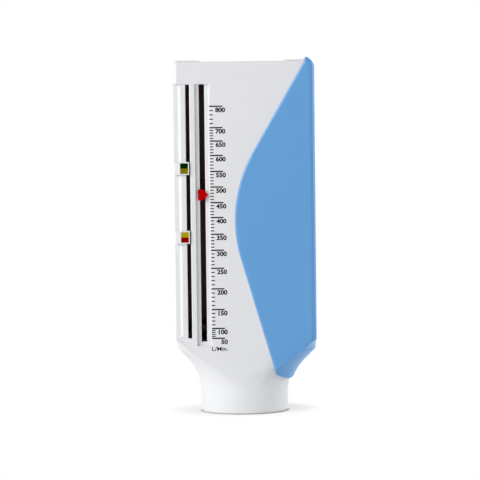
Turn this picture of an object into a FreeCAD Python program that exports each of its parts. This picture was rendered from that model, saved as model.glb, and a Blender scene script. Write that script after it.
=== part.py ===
import FreeCAD, Part
import math
import os
import re
import Sketcher

# A hand-held peak flow meter. +Z is up, the front faces -Y, and the origin is the centre of the mouth tube's
# rim, on which it stands. Every length is in millimetres and every angle in degrees.

Vector = FreeCAD.Vector

doc = FreeCAD.newDocument("PeakFlowMeter")
sheet = doc.addObject("Spreadsheet::Sheet", "Sizes")

SIZES = [
    # Housing outline
    ("body_half_width", 29.7),
    ("body_half_depth", 15.0),
    ("body_top", 154.9),
    ("body_edge_round", 1.8),
    ("body_corner_round", 2.0),
    ("dip_left", -17.7),
    ("dip_right", 18.4),
    ("dip_depth", 0.55),
    ("dip_run", 1.1),
    ("wall", 2.2),
    # Mouth tube, the flare above it and the crease where the flare meets the flat faces
    ("tube_half_width", 19.2),
    ("tube_half_depth", 15.0),
    ("tube_length", 8.5),
    ("rim_round", 0.5),
    ("flare_radius", 22.0),
    ("flare_lean", 43.0),
    ("shoulder_round", 3.0),
    ("crease_bottom", 12.8),
    ("crease_bend", 3.5),
    ("crease_rise", 0.8),
    # Chamber, partition and marker bay
    ("chamber_in", 9.2),
    ("chamber_round", 1.5),
    ("partition", 1.4),
    ("bay_bottom", 33.0),
    ("bay_over_rail", 1.2),
    ("chamber_floor", 29.9),
    ("rib_width", 2.0),
    ("rib_height", 4.5),
    ("rib_reach", 1.4),
    ("rib_spread", 12.0),
    # Rail, slots and pointer groove on the front
    ("rail_below_top", 10.2),
    ("rail_bottom", 32.5),
    ("ledge_bottom", 34.5),
    ("rail_drop", 0.5),
    ("ledge_drop", 1.9),
    ("ledge_in", 2.0),
    ("crest_in", 3.1),
    ("rail_lap", 0.5),
    ("slot_below_rail", 0.2),
    ("marker_slot_in", 5.2),
    ("marker_slot_width", 1.75),
    ("marker_slot_bottom", 33.7),
    ("pointer_slot_in", 11.05),
    ("pointer_slot_width", 2.4),
    ("pointer_slot_bottom", 32.2),
    ("groove_in", 9.2),
    ("groove_width", 6.2),
    ("groove_bottom", 30.3),
    ("groove_drop", 1.1),
    ("slot_break", 0.35),
    # Grip cover
    ("cover_thickness", 1.2),
    ("cover_side", 2.0),
    ("cover_neck", 1.5),
    ("cover_top", 1.25),
    ("cover_bottom", 17.05),
    ("cover_corner_round", 4.5),
    ("cover_edge_round", 2.5),
    ("cover_lip_round", 0.8),
    ("cover_edge_x", -3.5),
    ("cover_edge_z", 85.0),
    ("cover_edge_radius", 59.4),
    ("cover_upper_lean", 30.0),
    ("cover_lower_lean", 16.3),
    ("cover_foot_round", 2.3),
    ("cover_foot_lean", 22.0),
    # Pointer
    ("pointer_z", 96.5),
    ("follower_rise", 5.0),
    ("pointer_half_height", 2.35),
    ("pointer_in", 10.2),
    ("pointer_shank", 2.2),
    ("pointer_point", 2.2),
    ("pointer_proud", 0.3),
    ("pointer_corner_round", 0.3),
    ("stem_half_height", 1.4),
    ("carriage_thickness", 1.2),
    ("carriage_side", 1.1),
    ("follower_reach", 1.4),
    ("follower_height", 2.0),
    ("leaf_thickness", 0.15),
    ("leaf_room", 0.4),
    ("leaf_side", 0.3),
    # Zone markers
    ("upper_marker_z", 108.1),
    ("lower_marker_z", 78.1),
    ("marker_height", 5.6),
    ("marker_in", 0.15),
    ("marker_width", 6.35),
    ("marker_plate", 1.1),
    ("marker_leg", 1.0),
    ("marker_foot", 1.8),
    ("marker_foot_thickness", 0.9),
    ("chip_in", 2.65),
    ("chip_width", 3.4),
    ("chip_height", 2.3),
    ("chip_depth", 0.4),
    ("marker_break", 0.2),
    # Vane, rod and spring
    ("vane_thickness", 1.6),
    ("vane_gap", 0.35),
    ("hub_radius", 3.2),
    ("hub_above", 4.0),
    ("fin_thickness", 1.0),
    ("fin_height", 2.4),
    ("bush_radius", 2.2),
    ("bush_clip", 0.6),
    ("rod_radius", 1.5),
    ("rod_fit", 0.05),
    ("foot_thickness", 2.0),
    ("foot_border", 2.0),
    ("foot_end", 5.2),
    ("foot_bar", 3.0),
    ("foot_boss_radius", 4.0),
    ("rod_foot_reach", 2.6),
    ("clip_thickness", 0.8),
    ("clip_radius", 3.0),
    ("bumper_thickness", 0.9),
    ("bumper_radius", 4.0),
    ("top_bumper_thickness", 2.6),
    ("socket_radius", 4.5),
    ("socket_height", 1.6),
    ("washer_thickness", 0.6),
    ("washer_radius", 5.4),
    ("seat_rim", 0.5),
    ("spring_radius", 4.3),
    ("wire_radius", 0.25),
    ("spring_turns", 15.0),
    # Clearances
    ("slide_gap", 0.2),
    ("pass_gap", 0.3),
    ("seat_gap", 0.1),
]

# Places that follow the housing's left side and top
PLACES = [
    ("chamber_left", "=chamber_in - body_half_width"),
    ("rail_top", "=body_top - rail_below_top"),
    ("slot_top", "=rail_top - slot_below_rail"),
    ("bay_top", "=rail_top + bay_over_rail"),
    ("ledge_right", "=ledge_in - body_half_width"),
    ("rail_crest", "=crest_in - body_half_width"),
    ("marker_slot_left", "=marker_slot_in - body_half_width"),
    ("pointer_slot_left", "=pointer_slot_in - body_half_width"),
    ("groove_left", "=groove_in - body_half_width"),
    ("groove_right", "=groove_left + groove_width"),
    ("pointer_left", "=pointer_in - body_half_width"),
    ("pointer_shoulder", "=pointer_left + pointer_shank"),
    ("pointer_tip", "=pointer_shoulder + pointer_point"),
    ("marker_left", "=marker_in - body_half_width"),
    ("marker_right", "=marker_left + marker_width"),
    ("chip_left", "=chip_in - body_half_width"),
    ("chip_right", "=chip_left + chip_width"),
]

NAMES = [name for name, _ in SIZES + PLACES]
WORD = re.compile(r"\b(" + "|".join(sorted(NAMES, key=len, reverse=True)) + r")\b")

for row, (name, value) in enumerate(SIZES + PLACES, start=1):
    sheet.set(f"A{row}", name)
    sheet.set(f"B{row}", str(value))
    sheet.setAlias(f"B{row}", name)
doc.recompute()


def bound(text):
    """The sheet's form of an expression that names sizes."""
    return WORD.sub(r"Sizes.\1", str(text))


def amount(text):
    """The value of an expression now."""
    return float(sheet.evalExpression(bound(text)))


def bind(thing, **expressions):
    """Ties each named property of a thing to an expression."""
    for prop, text in expressions.items():
        thing.setExpression(prop.replace("__", "."), bound(text))
    return thing


def place(thing, x="0", y="0", z="0"):
    """Ties a thing's position to three expressions."""
    for axis, text in zip("xyz", (x, y, z)):
        thing.setExpression(f"Placement.Base.{axis}", bound(text))
    return thing


def block(name, x, y, z):
    """A box from three pairs of expressions, its low and high side along each axis."""
    box = doc.addObject("Part::Box", name)
    place(box, x[0], y[0], z[0])
    length, width, height = (f"({high}) - ({low})" for low, high in (x, y, z))
    return bind(box, Length=length, Width=width, Height=height)


def round_bar(name, radius, z, x="0", y="0"):
    """An upright cylinder between two heights."""
    bar = doc.addObject("Part::Cylinder", name)
    place(bar, x, y, z[0])
    return bind(bar, Radius=radius, Height=f"({z[1]}) - ({z[0]})")


def cut(name, base, *tools):
    """The base less every tool, one after the other."""
    for index, tool in enumerate(tools):
        less = doc.addObject("Part::Cut", name if index == len(tools) - 1 else f"{name}_less_{index + 1}")
        less.Base = base
        less.Tool = tool
        base = less
    return base


def common(name, *shapes):
    """What all the shapes share."""
    shared = doc.addObject("Part::MultiCommon", name)
    shared.Shapes = list(shapes)
    return shared


def fuse(name, *shapes):
    """All the shapes as one."""
    whole = doc.addObject("Part::MultiFuse", name)
    whole.Shapes = list(shapes)
    whole.Refine = True
    return whole


def new_body(label, base=None):
    """A body, on top of a base solid where one is given."""
    body = doc.addObject("PartDesign::Body", label)
    if base is not None:
        body.BaseFeature = base
    return body


def outline(body, name, role, lift, corners):
    """A closed sketch of straight edges on an origin plane, lifted along its normal.

    Each corner is a pair of expressions. The plane XZ_Plane has its normal along -Y.
    """
    sketch = body.newObject("Sketcher::SketchObject", name)
    plane = next(f for f in body.Origin.OriginFeatures if f.Role == role)
    sketch.AttachmentSupport = (plane, [""])
    sketch.MapMode = "FlatFace"
    sketch.setExpression("AttachmentOffset.Base.z", bound(lift))
    spots = [Vector(amount(a), amount(b), 0) for a, b in corners]
    count = len(corners)
    for index in range(count):
        sketch.addGeometry(Part.LineSegment(spots[index], spots[(index + 1) % count]), False)
    for index in range(count):
        sketch.addConstraint(Sketcher.Constraint("Coincident", index, 2, (index + 1) % count, 1))
    for index, pair in enumerate(corners):
        for kind, text, spot in zip(("DistanceX", "DistanceY"), pair, spots[index]):
            number = sketch.addConstraint(Sketcher.Constraint(kind, -1, 1, index, 1, spot))
            sketch.setExpression(f"Constraints[{number}]", bound(text))
    return sketch


def ring_sketch(body, name, role, lift, x, y, radius):
    """A circle on an origin plane, its centre and radius tied to expressions."""
    sketch = body.newObject("Sketcher::SketchObject", name)
    plane = next(f for f in body.Origin.OriginFeatures if f.Role == role)
    sketch.AttachmentSupport = (plane, [""])
    sketch.MapMode = "FlatFace"
    sketch.setExpression("AttachmentOffset.Base.z", bound(lift))
    centre = Vector(amount(x), amount(y), 0)
    sketch.addGeometry(Part.Circle(centre, Vector(0, 0, 1), amount(radius)), False)
    for kind, text, spot in (("DistanceX", x, centre.x), ("DistanceY", y, centre.y)):
        number = sketch.addConstraint(Sketcher.Constraint(kind, -1, 1, 0, 3, spot))
        sketch.setExpression(f"Constraints[{number}]", bound(text))
    number = sketch.addConstraint(Sketcher.Constraint("Radius", 0, amount(radius)))
    sketch.setExpression(f"Constraints[{number}]", bound(radius))
    return sketch


def pad(body, name, sketch, length, both=False):
    """Adds material from a sketch along its normal, or half each way."""
    feature = body.newObject("PartDesign::Pad", name)
    feature.Profile = sketch
    feature.SideType = "Symmetric" if both else "One side"
    return finish(body, bind(feature, Length=length), grows=True)


def pocket(body, name, sketch, length, forward=True):
    """Takes material away from a sketch, along its normal or against it."""
    feature = body.newObject("PartDesign::Pocket", name)
    feature.Profile = sketch
    feature.Reversed = forward
    return finish(body, bind(feature, Length=length), grows=False)


def finish(body, feature, grows):
    """Makes a feature the body's last one and makes sure that it changed the volume the right way."""
    earlier = [o.Shape.Volume for o in body.Group[:-2] if hasattr(o, "Shape") and o.Shape.Solids]
    before = earlier[-1] if earlier else 0
    body.Tip = feature
    doc.recompute()
    change = feature.Shape.Volume - before
    if (change > 0) != grows:
        raise ValueError(f"{body.Label}: {feature.Name} changes the volume by {change:.3f}")
    return feature


def picked(shape, test):
    """The names of the edges that pass a test of their middle, direction and length."""
    names = []
    for number, edge in enumerate(shape.Edges, start=1):
        middle = edge.valueAt((edge.FirstParameter + edge.LastParameter) / 2)
        run = edge.valueAt(edge.LastParameter) - edge.valueAt(edge.FirstParameter)
        if test(middle, run, edge.Length):
            names.append(f"Edge{number}")
    return names


def rounded(body, name, radius, test, kind="PartDesign::Fillet", prop="Radius"):
    """Rounds or breaks the edges of the body's last feature that pass a test."""
    last = body.Tip
    names = picked(last.Shape, test)
    feature = body.newObject(kind, name)
    feature.Base = (last, names)
    feature.setExpression(prop, bound(radius))
    body.Tip = feature
    doc.recompute()
    return feature


def made(name, shape):
    """A fixed shape worked out from the sheet's sizes."""
    feature = doc.addObject("Part::Feature", name)
    feature.Shape = shape
    return feature


def near(a, b, within=0.01):
    """Whether two lengths are the same."""
    return abs(a - b) < within


# Levels and places that several pieces share
FRONT = "-body_half_depth"
SIDE_IN = "(body_half_width - wall)"
DEPTH_IN = "(body_half_depth - wall)"
CEILING = "(body_top - dip_depth - wall)"
ROD_X = f"((chamber_left + {SIDE_IN}) / 2)"
BAY_RIGHT = "(chamber_left - partition)"
RAIL_LEVEL = "(rail_drop - body_half_depth)"
LEDGE_LEVEL = "(ledge_drop - body_half_depth)"
GROOVE_FLOOR = "(groove_drop - body_half_depth)"
SLOT_RIGHT = "(pointer_slot_left + pointer_slot_width)"
POINTER_LOW = "(pointer_slot_bottom + stem_half_height + slide_gap)"
VANE_TOP = f"({POINTER_LOW} + follower_rise)"
VANE_UNDER = f"({VANE_TOP} - vane_thickness)"
FOOT_TOP = "(chamber_floor + foot_thickness)"
BUMPER_TOP = f"({FOOT_TOP} + bumper_thickness)"
HUB_BOTTOM = f"({BUMPER_TOP} + slide_gap)"
BUSH_BOTTOM = f"({HUB_BOTTOM} + bush_clip)"
HUB_TOP = f"({VANE_TOP} + hub_above)"
SOCKET_BOTTOM = f"({CEILING} - socket_height)"
SPRING_CEILING = f"({SOCKET_BOTTOM} - washer_thickness)"
BUMPER_UNDER = f"({SPRING_CEILING} - top_bumper_thickness)"
SPRING_FLOOR = f"({VANE_TOP} + washer_thickness)"
ROD_BORE = "(rod_radius + rod_fit)"
STEM_END = f"({DEPTH_IN} - leaf_room - carriage_thickness / 2)"
WIDE = "(2 * body_half_width)"

# How much wider than the housing the flare ends, so that it holds the housing's whole section there
FLARE_SPARE = 1.02


def flare_turns():
    """Heights and half widths where the arc ends, where the slope ends and where the shoulder ends."""
    tube, body = amount("tube_half_width"), amount("body_half_width")
    start, bend, shoulder = amount("tube_length"), amount("flare_radius"), amount("shoulder_round")
    lean = math.radians(amount("flare_lean"))
    arc = (start + bend * math.sin(lean), tube + bend * (1 - math.cos(lean)))
    slope_x = body - shoulder * (1 - math.cos(lean))
    slope = (arc[0] + (slope_x - arc[1]) / math.tan(lean), slope_x)
    return arc, slope, (slope[0] + shoulder * math.sin(lean), body)


def flare_side(z):
    """The housing's half width at a height: a straight tube, an arc, a straight slope and a round shoulder."""
    tube, start, bend = amount("tube_half_width"), amount("tube_length"), amount("flare_radius")
    shoulder, lean = amount("shoulder_round"), math.radians(amount("flare_lean"))
    arc, slope, top = flare_turns()
    if z <= start:
        return tube
    if z <= arc[0]:
        return tube + bend - math.sqrt(bend**2 - (z - start) ** 2)
    if z <= slope[0]:
        return arc[1] + (z - arc[0]) * math.tan(lean)
    if z <= top[0]:
        return top[1] - shoulder + math.sqrt(shoulder**2 - (top[0] - z) ** 2)
    return top[1]


def flare_angle(z):
    """How far the housing's side leans out of the upright at a height, in radians."""
    start, bend, shoulder = amount("tube_length"), amount("flare_radius"), amount("shoulder_round")
    arc, slope, top = flare_turns()
    if z <= start or z >= top[0]:
        return 0.0
    if z <= arc[0]:
        return math.asin((z - start) / bend)
    if z <= slope[0]:
        return math.radians(amount("flare_lean"))
    return math.asin((top[0] - z) / shoulder)


def crease_x(z):
    """How far out the crease lies on the flat faces at a height."""
    bend = amount("crease_bend")
    run = z - amount("crease_bottom") + bend
    return math.sqrt(max(run**2 - bend**2, 0)) / amount("crease_rise") if run > 0 else 0.0


def flare_top():
    """The height at which the crease has reached the housing's side, never below the shoulder."""
    bend, body = amount("crease_bend"), amount("body_half_width")
    reach = amount("crease_bottom") - bend + math.hypot(bend, amount("crease_rise") * body)
    return max(reach, flare_turns()[2][0] + bend / 2)


def flare_heights():
    """The heights of the flare's rings, closer together where it bends."""
    bend_steps, shoulder_steps, crease_steps = 8, 3, 3
    start, bend, shoulder = amount("tube_length"), amount("flare_radius"), amount("shoulder_round")
    lean = math.radians(amount("flare_lean"))
    slope, top = flare_turns()[1:]
    heights = [amount("rim_round")]
    heights += [start + bend * math.sin(lean * step / bend_steps) for step in range(bend_steps + 1)]
    drops = [shoulder * math.sin(lean * step / shoulder_steps) for step in range(shoulder_steps, -1, -1)]
    heights += [top[0] - drop for drop in drops]
    rest = flare_top() - top[0]
    return heights + [top[0] + rest * step / crease_steps for step in range(1, crease_steps + 1)]


def oval(z, half_width, half_depth):
    """A level closed curve of four smooth quarters, close to an ellipse of two half sizes."""
    pull = 4 / 3 * math.tan(math.pi / 8)
    signs = [(1, 1), (-1, 1), (-1, -1), (1, -1)]
    edges = []
    for index, (east, north) in enumerate(signs):
        quarter = [(1, 0), (1, pull), (pull, 1), (0, 1)]
        if index % 2:
            quarter.reverse()
        poles = [Vector(east * u * half_width, north * v * half_depth, z) for u, v in quarter]
        curve = Part.BezierCurve()
        curve.setPoles(poles)
        edges.append(curve.toShape())
    return Part.Wire(edges)


def flare_solid(at_tube, at_body, rim=0.0):
    """The flare as a loft through ovals, each set out square to its side by an amount that changes on the way.

    The ovals grow much deeper than the housing as they widen. Cut by the housing's flat front, they leave
    the curved crease that runs down round the tube.

    Args:
        at_tube: how far the side stands out of the housing's own side at the tube.
        at_body: how far it stands out at the shoulder.
        rim: how far the rim is drawn in below the first oval.
    """
    tube, body = amount("tube_half_width"), amount("body_half_width")
    deep = amount("tube_half_depth") + at_tube
    shoulder_z, top = flare_turns()[2][0], flare_top()
    rings = []
    for z in flare_heights():
        side = flare_side(z)
        share = (side - tube) / (body - tube)
        spare = 1 + (FLARE_SPARE - 1) * max(z - shoulder_z, 0) / (top - shoulder_z)
        ratio = min(crease_x(z) / (side * spare), 1 / FLARE_SPARE)
        offset = (at_tube + (at_body - at_tube) * share) / math.cos(flare_angle(z))
        rings.append((z, side * spare + offset, deep / math.sqrt(1 - ratio**2)))
    first = rings[0]
    rings.insert(0, (0, first[1] - rim, first[2] - rim))
    return Part.makeLoft([oval(*ring) for ring in rings], True, True)


def slab(name, half_depth, x=(f"-{WIDE}", WIDE), z=("0", "body_top")):
    """A flat slab, as deep each way as an expression says."""
    return block(name, x, (f"-({half_depth})", half_depth), z)


FLARE_TOP = f"{flare_top():.6f}"


def above_flare(name):
    """All the space above the flare's last ring."""
    return slab(name, WIDE, z=(FLARE_TOP, "2 * body_top"))


def upright(run, length):
    """Whether an edge runs straight up."""
    return near(abs(run.z), length)


def along_depth(run, length):
    """Whether an edge runs straight from front to back."""
    return near(abs(run.y), length)


# The housing's outer form, before it is hollowed and parted
def housing_form():
    """The solid outside of the housing: a block with a dipped top that the flare cuts down to the tube."""
    body = new_body("housing_block")
    left, right, top = "-body_half_width", "body_half_width", "body_top"
    corners = [(left, "0"), (right, "0"), (right, top), (left, top)]
    sketch = outline(body, "block_outline", "XZ_Plane", "0", corners)
    pad(body, "block", sketch, "2 * body_half_depth", both=True)
    side, height = amount("body_half_width"), amount("body_top")
    rounded(
        body,
        "corner_rounds",
        "body_corner_round",
        lambda m, run, length: along_depth(run, length) and near(m.z, height) and near(abs(m.x), side),
    )
    rounded(
        body,
        "side_rounds",
        "body_edge_round",
        lambda m, run, length: upright(run, length) and near(abs(m.x), side),
    )
    low = f"{top} - dip_depth"
    dip = [("dip_left", low), ("dip_right", low), ("dip_right + 2 * dip_run", f"{top} + dip_depth"),
           ("dip_left - 2 * dip_run", f"{top} + dip_depth")]
    sketch = outline(body, "dip_outline", "XZ_Plane", "-2 * body_half_depth", dip)
    pocket(body, "top_dip", sketch, "4 * body_half_depth")
    flare = made("flare_form", flare_solid(0, 0, amount("rim_round")))
    low_part = common("housing_low", flare, body)
    high_part = common("housing_high", body, above_flare("housing_high_space"))
    return fuse("housing_form", low_part, high_part)


def cavity_form():
    """The room inside: the chamber, which narrows with the flare to the tube's bore, and the marker bay."""
    wall = amount("wall")
    bore = made("bore_form", flare_solid(-wall, -wall))
    chamber = new_body("chamber_room")
    corners = [
        ("chamber_left", f"-{DEPTH_IN}"),
        (SIDE_IN, f"-{DEPTH_IN}"),
        (SIDE_IN, DEPTH_IN),
        ("chamber_left", DEPTH_IN),
    ]
    pad(chamber, "room", outline(chamber, "chamber_outline", "XY_Plane", "0", corners), CEILING)
    rounded(chamber, "room_rounds", "chamber_round", lambda m, run, length: upright(run, length))
    passage = cut("passage", common("straight_passage", bore, chamber), *frame_ribs())
    room = common("room_above_flare", chamber, above_flare("room_space"))
    bay = slab("marker_bay", DEPTH_IN, (f"-{SIDE_IN}", BAY_RIGHT), ("bay_bottom", "bay_top"))
    return passage, room, bay


def frame_ribs():
    """Two short ribs on the front wall and two on the rear one, which carry the rod's foot frame."""
    ribs = []
    z = ("chamber_floor - rib_height", "chamber_floor")
    for side, low, high in (
        ("front", f"-{DEPTH_IN} - wall / 2", f"rib_reach - {DEPTH_IN}"),
        ("rear", f"{DEPTH_IN} - rib_reach", f"{DEPTH_IN} + wall / 2"),
    ):
        for hand, way in (("left", "-"), ("right", "+")):
            middle = f"{ROD_X} {way} rib_spread"
            x = (f"{middle} - rib_width / 2", f"{middle} + rib_width / 2")
            ribs.append(block(f"{side}_{hand}_rib", x, (low, high), z))
    return ribs


def cut_front(body):
    """The rail, the two slots and the pointer's groove in the front wall."""
    left, face, lap = "-body_half_width - wall", "-body_half_depth - wall", "marker_slot_left + rail_lap"
    rail = [(left, RAIL_LEVEL), (left, face), (lap, face), (lap, RAIL_LEVEL)]
    sketch = outline(body, "rail_outline", "XY_Plane", "rail_bottom", rail)
    pocket(body, "rail_face", sketch, "rail_top - rail_bottom")
    ledge = [(left, LEDGE_LEVEL), (left, face), ("rail_crest", face), ("rail_crest", RAIL_LEVEL),
             ("ledge_right", LEDGE_LEVEL)]
    sketch = outline(body, "ledge_outline", "XY_Plane", "ledge_bottom", ledge)
    pocket(body, "rail_ledge", sketch, "rail_top - ledge_bottom")
    groove = [
        ("groove_left", "groove_bottom"),
        ("groove_right", "groove_bottom"),
        ("groove_right", "rail_top"),
        ("groove_left", "rail_top"),
    ]
    sketch = outline(body, "groove_outline", "XZ_Plane", "body_half_depth - groove_drop", groove)
    pocket(body, "pointer_groove", sketch, "2 * groove_drop")
    slots = {
        "marker_slot": ("marker_slot_left", "marker_slot_left + marker_slot_width", "marker_slot_bottom"),
        "pointer_slot": ("pointer_slot_left", SLOT_RIGHT, "pointer_slot_bottom"),
    }
    for name, (low, high, bottom) in slots.items():
        corners = [(low, bottom), (high, bottom), (high, "slot_top"), (low, "slot_top")]
        sketch = outline(body, f"{name}_outline", "XZ_Plane", f"{DEPTH_IN} - wall", corners)
        pocket(body, name, sketch, "3 * wall")
    face_y, floor_y = amount(FRONT), amount(GROOVE_FLOOR)
    edges = [(amount("marker_slot_left + marker_slot_width"), face_y), (amount("groove_right"), face_y),
             (amount(SLOT_RIGHT), floor_y)]
    rounded(
        body,
        "slot_breaks",
        "slot_break",
        lambda m, run, length: upright(run, length) and any(near(m.x, x) and near(m.y, y) for x, y in edges),
        "PartDesign::Chamfer",
        "Size",
    )


def shells():
    """The front and rear halves of the housing."""
    form = housing_form()
    hollow = cut("hollow_housing", form, *cavity_form())
    far = "3 * body_half_depth"
    everywhere = (f"-{WIDE}", WIDE)
    tall = ("-tube_length", "2 * body_top")
    front_half = common("front_half", hollow, block("front_space", everywhere, (f"-{far}", "0"), tall))
    rear_half = common("rear_half", hollow, block("rear_space", everywhere, ("0", far), tall))
    front = new_body("front_shell", front_half)
    doc.recompute()
    cut_front(front)
    rear = new_body("rear_shell", rear_half)
    return form, front, rear


def corner_arc(corner, one_way, other_way, radius):
    """A corner's round between two directions out of the corner: where it starts, its middle and its end."""
    half = one_way.getAngle(other_way) / 2
    between = (one_way + other_way).normalize()
    reach = radius / math.tan(half)
    middle = corner + between * (radius / math.sin(half) - radius)
    return corner + one_way * reach, middle, corner + other_way * reach


def cover_edge(inset, y):
    """The closed line round the cover at one depth, its curved left edge and its foot drawn in by an inset.

    Two straight sides run tangent to one wide arc. A small arc turns into the foot, which leans down to the
    right and ends in another small arc at the cover's side.
    """
    x, z = amount("cover_edge_x"), amount("cover_edge_z")
    radius = amount("cover_edge_radius") - inset
    centre_x = x + amount("cover_edge_radius")
    upper, lower = math.radians(amount("cover_upper_lean")), math.radians(amount("cover_lower_lean"))
    foot_lean, foot_round = math.radians(amount("cover_foot_lean")), amount("cover_foot_round")
    foot, right, top = amount("cover_bottom") + inset, amount(WIDE), amount("body_top + cover_top + wall")
    start = Vector(centre_x - radius * math.cos(upper), y, z + radius * math.sin(upper))
    middle = Vector(centre_x - radius, y, z)
    end = Vector(centre_x - radius * math.cos(lower), y, z - radius * math.sin(lower))
    peak = Vector(start.x + (top - start.z) * math.tan(upper), y, top)
    corner = Vector(end.x + (end.z - foot) * math.tan(lower), y, foot)
    along = Vector(math.cos(foot_lean), 0, -math.sin(foot_lean))
    turn = corner_arc(corner, (end - corner).normalize(), along, foot_round)
    neck = amount("tube_half_width + cover_neck")
    side = flare_side(foot - (neck - corner.x) * math.tan(foot_lean) + foot_round) + amount("cover_neck")
    side_corner = corner + along * ((side - corner.x) / math.cos(foot_lean))
    side_turn = corner_arc(side_corner, along * -1, Vector(0, 0, 1), foot_round)
    low_right, high_right = Vector(right, y, side_turn[2].z), Vector(right, y, top)
    edges = [
        Part.makeLine(peak, start),
        Part.Arc(start, middle, end).toShape(),
        Part.makeLine(end, turn[0]),
        Part.Arc(*turn).toShape(),
        Part.makeLine(turn[2], side_turn[0]),
        Part.Arc(*side_turn).toShape(),
        Part.makeLine(side_turn[2], low_right),
        Part.makeLine(low_right, high_right),
        Part.makeLine(high_right, peak),
    ]
    return Part.Wire(edges)


def cover_region():
    """The prism behind the cover's curved edge, drawn in towards both faces so that the lip is rounded."""
    face, lip = amount("body_half_depth + cover_thickness"), amount("cover_lip_round")
    steps = 3
    front = []
    for step in range(steps + 1):
        angle = math.pi / 2 * step / steps
        front.append((lip * (1 - math.sin(angle)), face - lip * (1 - math.cos(angle))))
    stations = [(inset, -y) for inset, y in front] + [(inset, y) for inset, y in reversed(front)]
    return made("cover_region", Part.makeLoft([cover_edge(*station) for station in stations], True, True))


def grip_cover(form):
    """The cover round the right side: a second skin over the housing, cut to its curved edge."""
    body = new_body("cover_block")
    right, top = "body_half_width + cover_side", "body_top + cover_top"
    corners = [("-body_half_width", "0"), (right, "0"), (right, top), ("-body_half_width", top)]
    sketch = outline(body, "cover_outline", "XZ_Plane", "0", corners)
    pad(body, "cover_pad", sketch, "2 * (body_half_depth + cover_thickness)", both=True)
    side, height = amount(right), amount(top)
    rounded(
        body,
        "cover_corner",
        "cover_corner_round",
        lambda m, run, length: along_depth(run, length) and near(m.z, height) and near(m.x, side),
    )
    rounded(
        body,
        "cover_side_rounds",
        "cover_edge_round",
        lambda m, run, length: upright(run, length) and near(m.x, side),
    )
    flare = made("cover_flare", flare_solid(amount("cover_neck"), amount("cover_side")))
    low_part = common("cover_low", flare, body)
    high_part = common("cover_high", body, above_flare("cover_high_space"))
    skin = fuse("cover_form", low_part, high_part)
    trimmed = common("cover_trimmed", skin, cover_region())
    doc.recompute()
    solid = new_body("grip_cover", cut("cover_shell", trimmed, form))
    doc.recompute()
    solid.Tip = solid.Group[0]
    return solid


def pointer():
    """The red arrow in the groove with its stem through the slot."""
    body = new_body("pointer")
    under = "body_half_depth - groove_drop + slide_gap"
    bottom, top = "pointer_z - pointer_half_height", "pointer_z + pointer_half_height"
    arrow = [("pointer_left", bottom), ("pointer_shoulder", bottom), ("pointer_tip", "pointer_z"),
             ("pointer_shoulder", top), ("pointer_left", top)]
    sketch = outline(body, "arrow_outline", "XZ_Plane", under, arrow)
    pad(body, "arrow", sketch, "groove_drop - slide_gap + pointer_proud")
    rounded(body, "arrow_rounds", "pointer_corner_round", lambda m, run, length: along_depth(run, length))
    low, high = "pointer_z - stem_half_height", "pointer_z + stem_half_height"
    left, right = "pointer_slot_left + slide_gap", f"{SLOT_RIGHT} - slide_gap"
    stem = [(left, low), (right, low), (right, high), (left, high)]
    sketch = outline(body, "stem_outline", "XZ_Plane", STEM_END, stem)
    pad(body, "stem", sketch, f"{under} + slide_gap - {STEM_END}")
    return body


def pointer_follower():
    """The dark slide behind the wall: a plate round the arrow's stem, and the lug that the vane lifts."""
    body = new_body("pointer_follower")
    left, right = "pointer_slot_left - carriage_side", f"{SLOT_RIGHT} + carriage_side"
    low, high = "pointer_z - stem_half_height", "pointer_z + follower_rise + follower_height"
    plate = [(left, low), (right, low), (right, high), (left, high)]
    lift = f"{DEPTH_IN} - leaf_room - carriage_thickness"
    sketch = outline(body, "carriage_outline", "XZ_Plane", lift, plate)
    pad(body, "carriage", sketch, "carriage_thickness")
    low = "pointer_z + follower_rise"
    lug = [(left, low), (right, low), (right, high), (left, high)]
    sketch = outline(body, "lug_outline", "XZ_Plane", f"{lift} - follower_reach", lug)
    pad(body, "lug", sketch, "follower_reach + carriage_thickness / 2")
    left, right = "pointer_slot_left + slide_gap - rod_fit", f"{SLOT_RIGHT} - slide_gap + rod_fit"
    low, high = "pointer_z - stem_half_height - wall", "pointer_z + stem_half_height + rod_fit"
    seat = [(left, low), (right, low), (right, high), (left, high)]
    sketch = outline(body, "stem_seat_outline", "XZ_Plane", STEM_END, seat)
    pocket(body, "stem_seat", sketch, "carriage_thickness")
    return body


def pointer_leaf():
    """The bowed strip between the follower and the front wall, which holds the pointer by friction."""
    wall_y, carriage_y = -amount(DEPTH_IN), amount(f"leaf_room - {DEPTH_IN}")
    thick = amount("leaf_thickness")
    low = amount("pointer_z + stem_half_height + slide_gap")
    high = amount("pointer_z + follower_rise + follower_height")
    left, right = amount("pointer_slot_left - leaf_side"), amount(f"{SLOT_RIGHT} + leaf_side")
    near_wall = wall_y + amount("rod_fit")
    middle = (low + high) / 2
    faces = []
    for rise, peak in ((0, carriage_y - thick), (thick, carriage_y)):
        spots = [(near_wall + rise, low), (peak, middle), (near_wall + rise, high)]
        faces.append(Part.Arc(*[Vector(left, y, z) for y, z in spots]).toShape())
    ends = [Part.makeLine(Vector(left, near_wall, z), Vector(left, near_wall + thick, z)) for z in (low, high)]
    wire = Part.Wire(Part.__sortEdges__(faces + ends))
    return made("pointer_friction_spring", Part.Face(wire).extrude(Vector(right - left, 0, 0)))


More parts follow.
